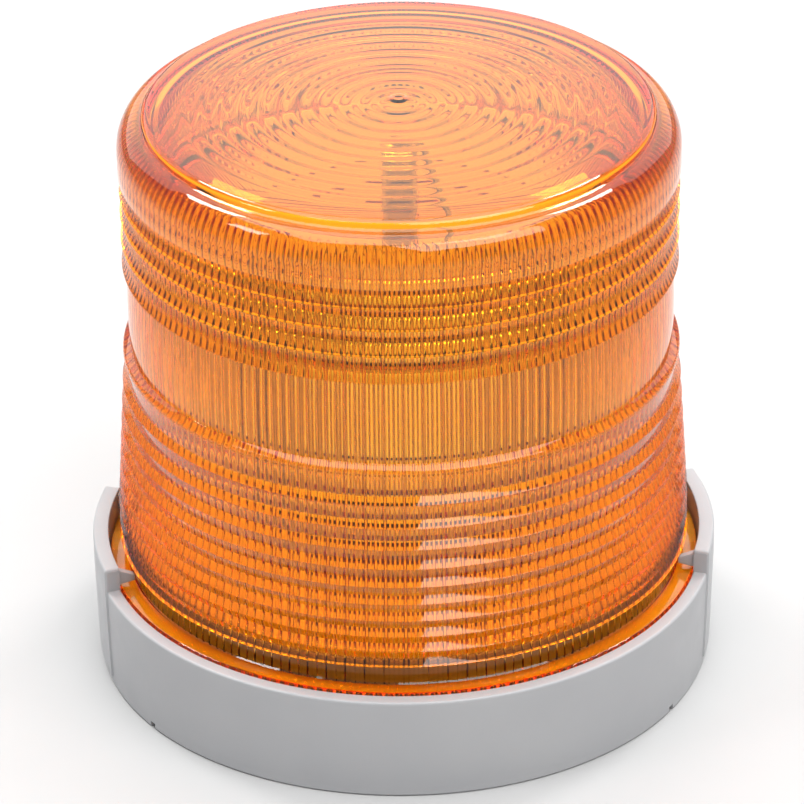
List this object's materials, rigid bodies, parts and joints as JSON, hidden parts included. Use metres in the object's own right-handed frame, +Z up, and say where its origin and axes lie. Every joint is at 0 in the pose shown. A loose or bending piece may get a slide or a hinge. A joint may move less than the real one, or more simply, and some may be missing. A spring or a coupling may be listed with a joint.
{
  "type": "warning beacon",
  "caption": "Amber beacon: a ribbed lens clipped into a round grey surface-mount base, with a plug-in flash lamp on a driver board inside.",
  "frame": {"origin": "centre of the base's underside, on the surface that it is screwed to", "axes": "+Z up through the lens; the two raised ears of the base are on +X and -X; -Y is the front"},
  "size_m": [0.146, 0.146, 0.1412],
  "materials": {
    "housing_grey": "light grey moulded plastic, satin",
    "lens_amber": "clear amber moulded plastic, glossy, with prisms",
    "rubber_black": "soft black rubber",
    "silicone_white": "translucent white silicone rubber",
    "reflector_white": "white moulded plastic, satin",
    "board_green": "green solder-masked circuit board",
    "steel_plated": "zinc-plated steel",
    "brass_plain": "plain brass",
    "copper_wound": "enamelled copper winding",
    "plastic_black": "black moulded plastic",
    "ceramic_cream": "unglazed cream ceramic",
    "glass_clear": "clear glass",
    "sleeve_blue": "blue shrink sleeve"
  },
  "bodies": {
    "base": {"base_housing": "housing_grey", "spigot_ring": "housing_grey", "base_floor": "housing_grey", "mounting_pad": "rubber_black", "wire_grommet": "rubber_black", "lens_gasket": "silicone_white", "driver_board": "board_green", "board_standoff_1": "brass_plain", "board_screw_1": "steel_plated", "board_standoff_2": "brass_plain", "board_screw_2": "steel_plated", "board_standoff_3": "brass_plain", "board_screw_3": "steel_plated", "board_standoff_4": "brass_plain", "board_screw_4": "steel_plated", "terminal_block": "plastic_black", "terminal_screw_1": "steel_plated", "terminal_screw_2": "steel_plated", "terminal_screw_3": "steel_plated", "storage_capacitor": "sleeve_blue", "trigger_coil": "copper_wound", "choke_ring": "copper_wound", "timer_chip": "plastic_black", "rectifier": "plastic_black", "line_resistor": "ceramic_cream", "surge_disc": "sleeve_blue", "line_fuse": "glass_clear", "earth_screw": "brass_plain", "reflector_plate": "reflector_white", "reflector_liner": "reflector_white", "reflector_screw_1": "steel_plated", "reflector_screw_2": "steel_plated", "reflector_screw_3": "steel_plated", "reflector_screw_4": "steel_plated", "lamp_socket": "plastic_black"},
    "lamp": {"lamp_base": "ceramic_cream", "lamp_pin_1": "brass_plain", "lamp_pin_2": "brass_plain", "lamp_pin_3": "brass_plain", "lower_electrode": "steel_plated", "flash_tube": "glass_clear", "upper_electrode": "steel_plated", "return_lead": "steel_plated", "trigger_wire": "copper_wound"},
    "lens": {"lens_dome": "lens_amber"}
  },
  "joints": [
    {"name": "lens_lift", "type": "slide", "parent": "base", "child": "lens", "axis": [0, 0, 1], "range_m": [0, 0.13]},
    {"name": "lamp_pull", "type": "slide", "parent": "base", "child": "lamp", "axis": [0, 0, 1], "range_m": [0, 0.008]}
  ]
}
